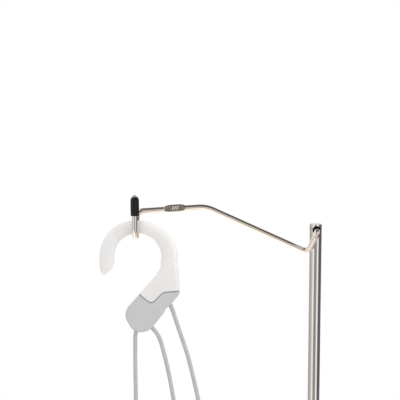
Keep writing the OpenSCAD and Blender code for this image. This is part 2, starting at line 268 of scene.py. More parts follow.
def spline(rows, per_span=8, keys=None):
    """A smooth curve through rows, with per_span points for each span.

    keys say which columns set the pace, and all of them do where keys is None.
    """
    rows = np.asarray(rows, float)
    lead = rows if keys is None else rows[:, keys]
    x = np.concatenate([[0], np.cumsum(np.linalg.norm(np.diff(lead, axis=0), axis=1))])
    slope = np.diff(rows, axis=0) / np.diff(x)[:, None]
    span = np.diff(x)
    between = (slope[:-1] * span[1:, None] + slope[1:] * span[:-1, None]) / (span[1:] + span[:-1])[:, None]
    tangent = np.vstack([slope[:1], between, slope[-1:]])
    curve = []
    for i in range(len(rows) - 1):
        for k in range(per_span + (i == len(rows) - 2)):
            q = k / per_span
            h = span[i]
            curve.append(
                rows[i] * (1 + 2 * q) * (1 - q) ** 2 + tangent[i] * h * q * (1 - q) ** 2
                + rows[i + 1] * q * q * (3 - 2 * q) + tangent[i + 1] * h * q * q * (q - 1))
    return np.array(curve)


def skin(rings, caps=True):
    """Points and faces of a closed skin over rings, each of the same number of points."""
    rings = np.asarray(rings, float)
    count, size = rings.shape[:2]
    faces = [
        (i * size + k, i * size + (k + 1) % size, (i + 1) * size + (k + 1) % size, (i + 1) * size + k)
        for i in range(count - 1) for k in range(size)]
    if caps:
        faces += [tuple(range(size)), tuple(range((count - 1) * size, count * size))]
    return rings.reshape(-1, 3), faces


def tube(path, radius, around=32):
    """A tube along path. radius takes a ring's number and its outward directions, and gives its radii."""
    path = np.asarray(path, float)
    along = np.gradient(path, axis=0)
    normal = np.cross(along[0], (0.3, 0.2, 0.9))
    angle = np.arange(around) * 2 * math.pi / around
    rings = []
    for i, point in enumerate(path):
        ahead = unit(along[i])
        normal = unit(normal - ahead * (normal @ ahead))
        out = np.outer(np.cos(angle), normal) + np.outer(np.sin(angle), np.cross(ahead, normal))
        rings.append(point + out * np.reshape(radius(i, out), (-1, 1)))
    return skin(rings)


def lathe(corners, closed=False, around=96, at=(0, 0, 0), axis=(0, 0, 1), steps=6):
    """A profile of (radius, height, corner radius) turned about axis through at; a closed one is a ring."""
    profile = fillet(corners, closed, steps)
    axis = unit(axis)
    side = unit(np.cross(axis, (0, 1, 0) if abs(axis[1]) < 0.9 else (1, 0, 0)))
    angle = np.arange(around) * 2 * math.pi / around
    out = np.outer(np.cos(angle), side) + np.outer(np.sin(angle), np.cross(axis, side))
    if closed:
        profile = np.vstack([profile, profile[:1]])
    return skin([np.array(at) + out * r + axis * h for r, h in profile], caps=False)


def rod(a, b, r, around=48):
    """A plain cylinder from a to b."""
    a, b = np.array(a, float), np.array(b, float)
    length = float(np.linalg.norm(b - a))
    return lathe([(0, 0, 0), (r, 0, 0), (r, length, 0), (0, length, 0)], at=a, axis=b - a, around=around)


WELD = 2e-6  # metres


def solid(name, shells, sharp=38):
    """An object from shells of (points, faces), welded and shaded. Here millimetres become metres."""
    mesh = bpy.data.meshes.new(name)
    shape = bmesh.new()
    for points, faces in shells:
        corners = [shape.verts.new(tuple(p * MM)) for p in points]
        for face in faces:
            shape.faces.new([corners[k] for k in face])
    bmesh.ops.remove_doubles(shape, verts=shape.verts, dist=WELD)
    bmesh.ops.dissolve_degenerate(shape, edges=shape.edges, dist=WELD / 2)
    bmesh.ops.recalc_face_normals(shape, faces=shape.faces)
    shape.to_mesh(mesh)
    shape.free()
    made = bpy.data.objects.new(name, mesh)
    bpy.context.collection.objects.link(made)
    smooth(made, sharp)
    return made


def smooth(made, sharp=38):
    """Smooth shading with sharp edges kept, and normals that follow the larger faces."""
    made.data.shade_smooth()
    made.data.set_sharp_from_angle(angle=math.radians(sharp))
    step = made.modifiers.new("even", "WEIGHTED_NORMAL")
    step.keep_sharp = True
    step.weight = 90
    baked = bpy.data.meshes.new_from_object(made.evaluated_get(bpy.context.evaluated_depsgraph_get()))
    made.modifiers.clear()
    made.data = baked


def carve(made, shells, operation="DIFFERENCE", sharp=38):
    """Cuts each shell out of made, or joins each to it, and removes the tools."""
    tools = [solid(f"tool_{i}", [shell]) for i, shell in enumerate(shells)]
    for cutter in tools:
        step = made.modifiers.new("cut", "BOOLEAN")
        step.object, step.operation, step.solver = cutter, operation, "EXACT"
    seen = made.evaluated_get(bpy.context.evaluated_depsgraph_get())
    mesh = bpy.data.meshes.new_from_object(seen)
    made.modifiers.clear()
    made.data = mesh
    for cutter in tools:
        bpy.data.objects.remove(cutter)
    smooth(made, sharp)
    return made


def place(made, body, slot, *nodes, material=None):
    """Gives a finished piece its material, from its slot unless one is given, puts it on its body and hides
    the CAD nodes that it stands for.
    """
    made.data.materials.clear()
    made.data.materials.append(material or MATERIALS[slot])
    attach(made, body)
    if nodes:
        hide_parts(*nodes)
    return made


def hung(points):
    """Points (right, up, depth towards the front) of the hanger's own frame, in the row frame."""
    points = np.asarray(points, float)
    return HANGER + np.stack([points[..., 0], -points[..., 2], points[..., 1]], axis=-1)


# ---------- cords ----------

STEP = 0.4              # distance between a cord's rings
STRANDS = 8             # yarns that wind each way
BRAID_PITCH = 9.0
YARN_LOW = 0.93         # radius of the grooves, as a share of the cord's
YARN_HEIGHT = 0.085     # height of the crowns above them, as a share of the cord's radius
END_ROUND = 1.2         # rounding of a cut and melted end
KNOT_CORD_R = 2.1       # the cord is pulled a little thinner in its knot


def braid(i, out_angle):
    """Height from 0 to 1 of a braid's surface at ring i and the given angles."""
    turn = out_angle / (2 * math.pi)
    along = i * STEP / BRAID_PITCH
    left = STRANDS * (turn + along)
    right = STRANDS * (turn - along)

    def crown(q):
        return np.sqrt(np.maximum(0, 1 - (2 * (q % 1) - 1) ** 2))

    over = 0.5 + 0.5 * np.cos(math.pi * (np.floor(left) + np.floor(right))) * crown(left) * crown(right)
    return np.maximum(crown(left) * (0.55 + 0.45 * over), crown(right) * (0.55 + 0.45 * (1 - over)))


def braided(path, radius, around=64, closed_end=False):
    """A braided tube along a path whose points are STEP apart; closed_end rounds its last end."""
    angle = np.arange(around) * 2 * math.pi / around
    last = len(path) - 1

    def radii(i, out):
        r = radius * (YARN_LOW + YARN_HEIGHT * braid(i, angle))
        if closed_end:
            left = (last - i) * STEP
            r = r * math.sqrt(max(0, 1 - max(0, 1 - left / END_ROUND) ** 2))
        return r

    return tube(path, radii, around)


def below(top, ahead, rows):
    """A smooth path through rows of (side, front, distance ahead), seen from the end of a cord's run."""
    side = unit(np.cross(ahead, (0, 1, 0)))
    front = np.cross(ahead, side)
    return np.array([top + side * u + front * v + ahead * w for u, v, w in spline(rows)])


def knot_path(top, ahead):
    """A stopper knot: the cord runs straight down, turns up, winds back round itself and tucks its end in."""
    rows = [(0, 0, -0.5), (0, 0, 3), (0, 0, 7), (0, 0, 10.2), (1.1, 0.1, 12.6), (2.9, 1.2, 13.2)]
    wind_r, pitch, turns, per_turn, start_angle, start_low = 4.15, 4.2, 2.15, 12, 48, 11.6
    for k in range(int(turns * per_turn) + 1):
        a = math.radians(start_angle + 360 / per_turn * k)
        rows.append((wind_r * math.cos(a), wind_r * math.sin(a), start_low - pitch * k / per_turn))
    for more_turn, r, down in ((0.6, 2.6, 0.6), (0.5, 1.2, 2)):
        a += more_turn
        rows.append((r * math.cos(a), r * math.sin(a), rows[-1][2] + down))
    return below(top, ahead, rows)


def tail_path(top, ahead):
    """The short free end that leaves the knot."""
    return below(top, ahead, [(-1.6, -1.2, 8.5), (-2.3, -1.8, 12), (-3.2, -2.2, 16), (-4.4, -2.3, 20)])


for side, route, length in (
    ("left", LEFT_ROUTE, 0.0862), ("middle", MIDDLE_ROUTE, 0.0929), ("right", RIGHT_ROUTE, 0.1185)):
    centreline = spaced(hung([(u, w, 0) for u, w in spline(route)]), STEP)
    cord = solid(f"braided_cord_{side}", [braided(centreline, CORD_D / 2)], sharp=80)
    place(cord, "hanger", "braided_cord", f"cord_{side}")
    down = unit(centreline[-1] - centreline[-4])
    wound = braided(spaced(knot_path(centreline[-1], down), STEP), KNOT_CORD_R)
    loose = braided(spaced(tail_path(centreline[-1], down), STEP), KNOT_CORD_R, closed_end=True)
    knot = solid(f"stopper_{side}", [wound, loose], sharp=80)
    place(knot, "hanger", "braided_cord", f"knot_{side}")

# ---------- moulded hook ----------

RING_C = np.array([0.8, -25.1])  # centre of the ring's round part
RING_R = 25             # radius of its hole
SEAM = [(3.1, -64.3, 0), (15.4, -74.5, 4.5), (27.5, -61.7, 12), (44.9, -60.6, 0)]
NECK_T = 12
SIDE_R = 3.5            # rounding of the long edges at the seam
SIDE_FLAT = 2.5         # half height of the straight side at the seam
CROWN = 0.25            # how far a broad face bulges
FULL_WIDTH = 40         # a face narrower than this bulges less
TIP_T, TIP_EDGE = 10.5, 5.6

# Rungs run from the ring's inner edge to its outer one. Each has both ends' (right, up), its thickness, the
# radii of its inner and outer edges, half the height of its straight side, and its share of the seam's bend.
tip_rungs = [
    (-34.9, -44.35, -34.9, -44.35, 0, 5.6, 5.6, 0, 0),
    (-33.6, -43.7, -36.15, -44.05, 4.2, 5.6, 5.6, 0, 0),
    (-31.2, -42.2, -37.1, -43.2, 7.4, 5.6, 5.6, 0, 0),
    (-28.4, -39.6, -38.0, -41.7, 9.4, 5.6, 5.6, 0, 0),
    (-26.1, -36.4, -38.8, -39.5, 10.3, 5.6, 5.6, 0, 0),
    (-24.7, -32.7, -39.4, -36.2, 10.5, 5.6, 5.6, 0, 0),
    (-24.2, -29.0, -39.6, -31.5, 10.5, 5.6, 5.6, 0, 0),
]
outer_radii = [  # (degrees round the ring, radius)
    (-10, 42.2), (0, 42.0), (14, 42.3), (23, 42.4), (33, 41.6), (43, 40.5), (56, 39.6), (70, 39.1),
    (90, 38.9), (104, 39.3), (122, 40.4), (180, 40.4)]
ring_rungs = []
for degrees in range(178, -9, -6):
    way = np.array([math.cos(math.radians(degrees)), math.sin(math.radians(degrees))])
    outer = np.interp(degrees, *zip(*outer_radii))
    flatter = min(1, max(0, (40 - degrees) / 50))
    ring_rungs.append((
        *(RING_C + way * RING_R), *(RING_C + way * outer), TIP_T + 1.1 * flatter,
        TIP_EDGE + 0.6 * flatter, TIP_EDGE - 1.4 * flatter, 0.6 * flatter, 0))
neck_rungs = [
    (24.9, -34.3, 43.25, -35.0, 11.8, 6.2, 4.0, 1.0, 0.02),
    (23.3, -39.5, 43.6, -40.2, 11.9, 5.8, 3.8, 1.4, 0.08),
    (19.6, -44.9, 43.95, -45.4, 12, 5.2, 3.7, 1.8, 0.2),
    (15.1, -50.2, 44.3, -50.6, 12, 4.6, 3.6, 2.1, 0.42),
    (10.4, -55.7, 44.6, -55.2, 12, 4.1, 3.5, 2.4, 0.7),
    (5.9, -61.0, 44.8, -58.7, 12, 3.7, 3.5, 2.5, 0.92),
    (3.5, -63.85, 44.9, -60.25, 12, 3.5, 3.5, 2.5, 0.995),
    (3.1, -64.3, 44.9, -60.6, 12, 3.5, 3.5, 2.5, 1),
]
rungs = spline(tip_rungs + ring_rungs + neck_rungs, per_span=4, keys=[0, 1, 2, 3])
seam_line = fillet(SEAM, steps=12)
EDGE_STEPS, FACE_STEPS = 9, 22


def section(row, shrink=0.0):
    """A closed ring of points for one rung; shrink draws its outline in by so much."""
    inner, outer = np.array(row[0:2]), np.array(row[2:4])
    width = float(np.linalg.norm(outer - inner))
    thick, r_in, r_out, straight, share = row[4:9]
    half = max(0.0, thick / 2 - shrink)
    r_in, r_out = min(r_in, 0.49 * width), min(r_out, 0.49 * width)
    straight = min(straight, half)
    across, depth = [], []
    for k in range(EDGE_STEPS):
        a = math.pi / 2 * k / EDGE_STEPS
        across.append(r_in * (1 - math.cos(a)))
        depth.append(straight + (half - straight) * math.sin(a))
    for k in range(FACE_STEPS + 1):
        q = k / FACE_STEPS
        across.append(r_in + (width - r_in - r_out) * q)
        depth.append(half + CROWN * min(1, width / FULL_WIDTH) * (1 - (2 * q - 1) ** 2) * (half > 0))
    for k in range(EDGE_STEPS - 1, -1, -1):
        a = math.pi / 2 * k / EDGE_STEPS
        across.append(width - r_out * (1 - math.cos(a)))
        depth.append(straight + (half - straight) * math.sin(a))
    across = np.array(across) / max(width, 1e-9)
    across = shrink / max(width, 1) + across * (1 - 2 * shrink / max(width, 1))
    line = inner + np.outer(across, outer - inner)
    seam_x = SEAM[0][0] + across * (SEAM[-1][0] - SEAM[0][0])
    chord = SEAM[0][1] + across * (SEAM[-1][1] - SEAM[0][1])
    line[:, 1] += share * (np.interp(seam_x, seam_line[:, 0], seam_line[:, 1]) - chord)
    front = np.column_stack([line, depth])
    back = np.column_stack([line, -np.array(depth)])[::-1]
    return np.vstack([front, back])


# At the seam the skin stops short of the line and steps in to a smaller end face, so that a groove shows.
LIP_INSET, LIP_BACK, LIP_FACE = 0.8, 0.55, 0.1  # the step, and how far the skin and the end face stay back
loft = [section(row) for row in rungs]
lip = section(rungs[-1], LIP_INSET)
loft[-1][:, 1] += LIP_BACK
lip[:, 1] += LIP_FACE
loft.append(lip)
hook = solid("moulded_hook", [skin(hung(loft))], sharp=50)


def slab(corners, near, far):
    """A flat plate of the hanger's frame with the given outline, between two depths."""
    outline = fillet(corners, True)
    rings = [np.column_stack([outline, np.full(len(outline), z)]) for z in (near, far)]
    return skin(hung(rings))


TANG = [(9, -85, 3), (21, -85, 3), (23, -80, 2), (23, -66, 0), (9, -69, 0)]
TANG_T, TANG_GAP = 5, 0.2
carve(hook, [slab(TANG, -TANG_T / 2, TANG_T / 2)], "UNION", sharp=50)
place(hook, "hanger", "white_plastic", "hook_body")

# ---------- cord housing ----------

SEAM_GAP = 0.5
WALL = 1.6
CRISP, CRISP_R = 0.9, 0.6  # height and width of the rounded edge along the seam
CROWN_RUN = 16          # the face's bulge grows over this distance from the sides
EXIT_R = 2.6            # the cords' holes
PARTING = 0.05          # each half stops so far short of the middle
LEAST_INSIDE = 1.5      # least depth of the inside
SIDES = [
    (2.7, -64.8, 0.5), (-15.3, -84.9, 14), (-4.7, -105.8, 14), (11.7, -105.8, 16), (28, -85.5, 8),
    (31, -79.5, 3), (35.2, -76.6, 2.5), (45, -64.6, 2.5), (44.9, -60.6 - SEAM_GAP, 0.3),
]
OUTLINE = SIDES + [(27.6, -61.8 - SEAM_GAP, 12.5), (15.4, -74.7 - SEAM_GAP, 4.5)]
CENTRE = np.array([17, -84])
side_line = fillet(SIDES, steps=10)
top_line = fillet([SIDES[-1], *OUTLINE[-2:], SIDES[0]], steps=10)


def distance(points, line):
    """How far each point is from a line of many points."""
    a, b = line[:-1], line[1:]
    span = b - a
    length2 = np.maximum(np.einsum("ij,ij->i", span, span), 1e-12)
    q = np.einsum("pij,ij->pi", points[:, None] - a, span) / length2
    near = a + np.clip(q, 0, 1)[..., None] * span
    return np.linalg.norm(points[:, None] - near, axis=2).min(axis=1)


def face_depth(points):
    """Depth of the housing's outer face: rounded along its sides, crisp along the seam, slightly crowned."""
    side = np.clip(distance(points, side_line) / SIDE_R, 0, 1)
    seam = np.clip(distance(points, top_line) / CRISP_R, 0, 1)
    rounded = SIDE_FLAT + (NECK_T / 2 - SIDE_FLAT) * np.sqrt(1 - (1 - side) ** 2)
    crisp = NECK_T / 2 - CRISP + CRISP * np.sqrt(1 - (1 - seam) ** 2)
    crown = CROWN * np.clip(distance(points, side_line) / CROWN_RUN, 0, 1) ** 0.8
    return np.minimum(rounded, crisp) + crown * np.clip(side * 1.5 - 0.5, 0, 1)


def housing_half(name, face):
    """A closed half shell, from the middle of its inside, over its rim, to the middle of its outside.

    face is 1 for the front half and -1 for the rear one.
    """
    inner = fillet(inset(OUTLINE, WALL), True)
    rings = []
    for s in (0, 0.12, 0.25, 0.4, 0.55, 0.68, 0.78, 0.85, 0.9, 0.94, 0.97, 1):
        points = CENTRE + (inner - CENTRE) * s
        rings.append(np.column_stack([points, np.maximum(LEAST_INSIDE, face_depth(points) - WALL)]))
    rings.append(np.column_stack([inner, np.full(len(inner), PARTING)]))
    for d, z in ((0.12, PARTING), (0.03, 0.09), (0, 0.18)):
        points = fillet(inset(OUTLINE, d), True)
        rings.append(np.column_stack([points, np.full(len(points), z)]))
    for d in (0, 0.03, 0.08, 0.15, 0.24, 0.35, 0.5, 0.7, 0.95, 1.25, 1.6):
        points = fillet(inset(OUTLINE, d), True)
        rings.append(np.column_stack([points, face_depth(points)]))
    rim = points
    for s in (0.985, 0.97, 0.95, 0.93, 0.905, 0.88, 0.85, 0.8, 0.74, 0.66, 0.56, 0.45, 0.33, 0.22, 0.11, 0):
        points = CENTRE + (rim - CENTRE) * s
        rings.append(np.column_stack([points, face_depth(points)]))
    rings = np.array(rings)
    rings[..., 2] *= face
    return solid(name, [skin(hung(rings), caps=False)], sharp=50)


def exit_hole(route):
    """The hole that a cord leaves by, a little wider than the cord."""
    a, b = np.array(route[0], float), np.array(route[1], float)
    v = unit(b - a)
    return rod(hung((*(a - v * 0.5), 0)), hung((*(a + v * 9), 0)), EXIT_R)


SCREWS = [(16, -80), (-3.5, -85), (38, -67.8)]
SCREW_SEAT, WELL_R, HEAD_R = 1.4, 2.5, 2.25  # depth of a screw's well below the rear face, and the radii
holes = [exit_hole(route) for route in (LEFT_ROUTE, MIDDLE_ROUTE, RIGHT_ROUTE)]
slot_room = slab(inset(TANG, -TANG_GAP), -TANG_T / 2 - TANG_GAP, TANG_T / 2 + TANG_GAP)
front_shell = carve(housing_half("cord_housing_front", 1), [*holes, slot_room], sharp=50)
place(front_shell, "hanger", "grey_plastic", "housing_front")
REAR_FACE = -NECK_T / 2
wells = [rod(hung((u, w, REAR_FACE + SCREW_SEAT)), hung((u, w, REAR_FACE - 2)), WELL_R) for u, w in SCREWS]
rear_shell = carve(housing_half("cord_housing_rear", -1), [*holes, slot_room, *wells], sharp=50)
place(rear_shell, "hanger", "grey_plastic", "housing_rear")

heads, crosses = [], []
for u, w in SCREWS:
    heads.append(lathe(
        [(0, 0, 0), (HEAD_R, 0, 0.15), (HEAD_R, 0.9, 0.5), (1.2, 1.35, 0.6), (0, 1.35, 0)],
        at=hung((u, w, REAR_FACE + SCREW_SEAT + 0.1)), axis=(0, 1, 0)))
    for long, wide in ((1.3, 0.28), (0.28, 1.3)):
        corners = [(u + long * i, w + wide * j, 0.1) for i, j in ((-1, -1), (1, -1), (1, 1), (-1, 1))]
        crosses.append(slab(corners, REAR_FACE + 0.7, REAR_FACE - 1))
screws = solid("housing_screw_heads", heads)
carve(screws, crosses)
place(screws, "hanger", "zinc_steel", "housing_screws")

# ---------- bent wire arm ----------

# Corners of (x, y, height above PIVOT_Z, bend radius), from the tail behind the post to the upturned tip.
ARM_ROUTE = [
    (0, 15, 0, 0), (0, -14.2, 0, 5), (-9.2, ARM_Y, -23.2, 6.5), (-118.1, ARM_Y, 25.9, 33),
    (-ARM_REACH, ARM_Y, 20.9, 7.2), (-ARM_REACH, ARM_Y, HOOK_LOW, HOOK_R),
    (-ARM_REACH, FRONT_Y, HOOK_LOW, HOOK_R), (-ARM_REACH, FRONT_Y, TIP_HIGH, 0),
]
PAD_X = -151.8          # middle of the stamped pad
PAD_LEN = 22.5
PAD_R = 3.8             # half its height
PAD_T = 4.5             # thickness between its two flats
PAD_RISE = 0.75         # it stands off the wire's line by so much
PAD_ROUND = 5.5         # length of its rounded ends
FLAT_SLOPE = 1.2        # length of the step from the round wire to a flat
EDGE_POWER = 14         # the higher, the crisper the edge of a flat
wire = spaced(fillet(ARM_ROUTE, steps=40), 0.6)  # heights above PIVOT_Z, which lift puts right
slope = unit(np.array(ARM_ROUTE[3][:3]) - np.array(ARM_ROUTE[4][:3]))
above = unit(np.cross(slope, (0, 1, 0)))
above = above if above[2] > 0 else -above
pad_mid = wire[np.argmin(np.abs(wire[:, 0] - PAD_X) + 100 * (wire[:, 1] < ARM_Y - 1))]


def ease(q):
    """A smooth step from 0 to 1."""
    q = min(1.0, max(0.0, q))
    return q * q * (3 - 2 * q)


def wire_radii(i, out):
    """Round wire, except where it is stamped into a flat pad with a rounded outline."""
    off = abs(float((wire[i] - pad_mid) @ slope))
    if off > PAD_LEN / 2 + 1 or abs(wire[i][1] - ARM_Y) > 0.5:
        return np.full(len(out), float(ROD_R))
    end_run = min(1, max(0, (off - (PAD_LEN / 2 - PAD_ROUND)) / PAD_ROUND))
    round_end = (1 - end_run ** 2) ** 0.8
    flat_end = ease((PAD_LEN / 2 - 0.3 - off) / FLAT_SLOPE)
    r = ROD_R + (PAD_R - ROD_R) * round_end
    rise = PAD_RISE * round_end
    up = out @ above
    disc = rise * up + np.sqrt(r * r - rise * rise * (1 - up * up))
    flat = (PAD_T / 2 + (1 - flat_end) * ROD_R) / np.maximum(np.abs(out[:, 1]), 1e-3)
    return (disc ** -EDGE_POWER + flat ** -EDGE_POWER) ** (-1 / EDGE_POWER)


lift = np.array([0, 0, PIVOT_Z])
arm_points, arm_faces = tube(wire, wire_radii, around=48)
arm = solid("bent_wire_arm", [(arm_points + lift, arm_faces)], sharp=60)
place(arm, "arm", "polished_wire", "arm_rod")
arm.data.materials.append(PAD_FACE)
arm.data.materials.append(BORE_PAINTED_SHADE)
for polygon in arm.data.polygons:
    point = np.array(polygon.center) / MM - lift
    off = point - pad_mid
    oval = abs(off @ slope / (PAD_LEN / 2)) ** 3 + abs((off @ above - PAD_RISE) / (PAD_R + 0.1)) ** 3
    polygon.material_index = int(oval < 1 and abs(off[1]) < 5)
    if abs(point[0]) < 4 and abs(point[1]) < 6.1:  # the stretch inside the post is painted near-black: painted shade
        polygon.material_index = 2

# Three plain leaning strokes stand for the pad's stamped mark.
STROKE = [(-0.65, -2.2, 0.5), (0.65, -2.2, 0.5), (0.65, 2.2, 0.5), (-0.65, 2.2, 0.5)]
lean = unit(above + slope * 0.45)
wide = unit(np.cross(lean, (0, 1, 0)))
marks = []
for shift in (-2.4, 0, 2.4):
    base = pad_mid + slope * (shift + 0.6) + above * (PAD_RISE + 0.4) + (0, -PAD_T / 2 + 0.14, 0) + lift
    rings = []
    for inward, rise in ((0, 0), (0, 0.12), (0.12, 0.24)):
        ring = fillet(inset(STROKE, inward), True, 5)
        rings.append([base + wide * p[0] + lean * p[1] - np.array([0, rise + 0.05, 0]) for p in ring])
    marks.append(skin(rings))
place(solid("pad_marks", marks), "arm", "polished_wire", material=STAMP)

CAP_R = 4.5
NIB = 2.4               # length of the end painted lighter, a painted highlight


def vinyl_cap(name, at, axis, length, bore, node, lip=CAP_R):
    """A dipped cap: a rolled lip, a slightly waisted body and a domed end whose small nib is painted lighter
    as a highlight.

    bore is the depth that the wire goes in, and lip is the radius of the rim.
    """
    profile = [
        (0, bore, 0), (ROD_R + 0.02, bore, 0), (ROD_R + 0.02, 0.15, 0), (3.3, 0, 0.1), (lip - 0.1, 0, 0.5),
        (lip, 1.2, 0.5), (CAP_R - 0.15, 2.4, 1), (CAP_R - 0.03, 5.5, 6), (CAP_R, length - 4.3, 3.2),
        (2.9, length - 1.4, 2.2), (1.5, length - 0.7, 0.7), (1.1, length, 0.7), (0, length, 0)]
    cap = solid(name, [lathe(profile, at=at, axis=axis, around=64)], sharp=60)
    place(cap, "arm", "black_vinyl", node)
    cap.data.materials.append(NIB_PAINTED_HIGHLIGHT)
    # The nib's faces take the lighter grey: a painted highlight.
    for polygon in cap.data.polygons:
        up = (np.array(polygon.center) / MM - np.array(at)) @ np.array(axis)
        polygon.material_index = int(up > length - NIB)


vinyl_cap("tip_cap", (-ARM_REACH, FRONT_Y, PIVOT_Z + TIP_HIGH - 17), (0, 0, 1), 21.5, 17, "arm_tip_cap")
vinyl_cap("tail_cap", (0, 6.6, PIVOT_Z), (0, 1, 0), 12.9, 8.4, "arm_tail_cap", lip=5.4)

# ---------- post ----------

UPPER_R, UPPER_WALL, UPPER_LEN = 6.35, 1.0, 950
UPPER_BORE_R = UPPER_R - UPPER_WALL
HOLE_R, HOLE_Z = 4.25, PIVOT_Z + 0.9  # the loose cross hole: the wire lies low in it
FIT = 0.03              # gap round the upper tube and its plug
TOUCH = 0.02            # gap between faces that press on each other
SUPPORT = 0.4           # an extra ring so near the top edge keeps the tube's sides straight in the shading
upper = solid("upper_tube_skin", [lathe([
    (UPPER_BORE_R, POST_TOP - UPPER_LEN, 0.1), (UPPER_R, POST_TOP - UPPER_LEN, 0.25),
    (UPPER_R, POST_TOP - 40, 0), (UPPER_R, POST_TOP - SUPPORT, 0), (UPPER_R, POST_TOP, 0.12),
    (UPPER_BORE_R, POST_TOP, 0.1), (UPPER_BORE_R, POST_TOP - 40, 0)], closed=True, around=128)])
carve(upper, [rod((0, -20, HOLE_Z), (0, 20, HOLE_Z), HOLE_R, around=96)])
place(upper, "upper_post", "polished_steel", "upper_tube")
upper.data.materials.append(BORE_PAINTED_SHADE)
# The tube's inside and the cross hole's walls are painted near-black: painted shade.
for polygon in upper.data.polygons:
    x, y, z = np.array(polygon.center) / MM
    polygon.material_index = int(math.hypot(x, y) < UPPER_R - FIT and z < POST_TOP - 1)
plug = solid("top_plug_skin", [lathe([
    (0, POST_TOP - 1.5, 0), (UPPER_BORE_R - FIT, POST_TOP - 1.5, 0.1),
    (UPPER_BORE_R - FIT, POST_TOP - 0.15, 0.2), (0, POST_TOP - 0.05, 0)], around=96)])
place(plug, "upper_post", "polished_steel", "top_plug")

LOWER_R, LOWER_BORE_R = 8.0, 6.8
SOCKET_FLOOR = 22.2
TAP_R = 3.1             # the clamp screw's hole through the tube and the bush
screw_hole = rod((0, 0, CLAMP_Z), (20, 0, CLAMP_Z), TAP_R)
lower = solid("lower_tube_skin", [lathe([
    (LOWER_BORE_R, SOCKET_FLOOR, 0), (LOWER_R, SOCKET_FLOOR, 0), (LOWER_R, LOWER_TOP, 0.25),
    (LOWER_BORE_R, LOWER_TOP, 0.1)], closed=True, around=128)])
carve(lower, [screw_hole])
place(lower, "base", "polished_steel", "lower_tube")
BUSH_LOW, BUSH_TOP = LOWER_TOP - 30, LOWER_TOP + 2
bush = solid("guide_bush_skin", [lathe([
    (UPPER_R + FIT, BUSH_LOW, 0.2), (LOWER_BORE_R - TOUCH, BUSH_LOW, 0.2),
    (LOWER_BORE_R - TOUCH, LOWER_TOP + TOUCH, 0), (LOWER_R, LOWER_TOP + TOUCH, 0.2),
    (LOWER_R - 0.1, BUSH_TOP, 0.6), (UPPER_R + FIT, BUSH_TOP, 0.3)], closed=True)])
carve(bush, [screw_hole])
place(bush, "base", "black_plastic", "guide_bush")

# ---------- clamp ----------

COLLAR_R, COLLAR_H, BOSS_END = 13, 22, 26
collar = solid("clamp_collar_skin", [lathe([
    (LOWER_R + TOUCH, -COLLAR_H / 2, 0.4), (COLLAR_R, -COLLAR_H / 2, 2), (COLLAR_R, COLLAR_H / 2, 2),
    (LOWER_R + TOUCH, COLLAR_H / 2, 0.4)], closed=True, at=(0, 0, CLAMP_Z))])
boss = lathe(
    [(0, 9.5, 0), (8.6, 9.5, 0), (8.2, 15, 2), (8, BOSS_END, 0.8), (0, BOSS_END, 0)],
    at=(0, 0, CLAMP_Z), axis=(1, 0, 0))
carve(collar, [boss], "UNION")
carve(collar, [rod((5, 0, CLAMP_Z), (30, 0, CLAMP_Z), 3.05)])
place(collar, "base", "black_plastic", "clamp_collar")

KNOB_R, KNOB_T = 15, 14
LOBES, LOBE_DEPTH, LOBE_FADE = 6, 2.3, 6  # finger grooves round the rim, which fade out towards the middle
DISH = 0.8              # how far the middle of the outer face lies below its rim
KNOB_START = BOSS_END + 1
knob_rings = []
angle = np.arange(144) * 2 * math.pi / 144
groove = 1 - (0.5 - 0.5 * np.cos(LOBES * angle))
for inward, x in fillet([  # (distance in from the rim, distance from the boss, corner radius)
        (KNOB_R, 0, 0), (5.5, 0, 1.2), (1.6, 4.2, 3), (0, 7, 2), (0, KNOB_T, 3), (4, KNOB_T, 1),
        (5.2, KNOB_T - DISH, 0.6), (KNOB_R, KNOB_T - DISH, 0)]):
    r = np.maximum(0, KNOB_R - inward - LOBE_DEPTH * groove * max(0, 1 - inward / LOBE_FADE))
    knob_rings.append(np.column_stack([
        np.full(len(angle), KNOB_START + x), r * np.cos(angle), CLAMP_Z + r * np.sin(angle)]))
knob = solid("clamp_knob_skin", [skin(knob_rings, caps=False)], sharp=50)
place(knob, "clamp_knob", "black_plastic", "clamp_knob")

THREAD_R, THREAD_DEPTH, THREAD_PITCH = 2.98, 0.55, 1.0
SCREW_START, SCREW_END = 9.45, 28.01
rows = []
a = np.arange(48) * 2 * math.pi / 48
for x in np.arange(SCREW_START, SCREW_END, 0.1):
    phase = (x / THREAD_PITCH - a / (2 * math.pi)) % 1
    run_in = min(1, max(0, (x - SCREW_START + 0.05) / 1.2))
    r = THREAD_R - THREAD_DEPTH * np.abs(2 * phase - 1) * run_in
    rows.append(np.column_stack([np.full(len(a), x), r * np.cos(a), CLAMP_Z + r * np.sin(a)]))
screw = solid("clamp_screw_skin", [skin(rows)], sharp=50)
place(screw, "clamp_knob", "zinc_steel", "clamp_screw")

# ---------- base ----------

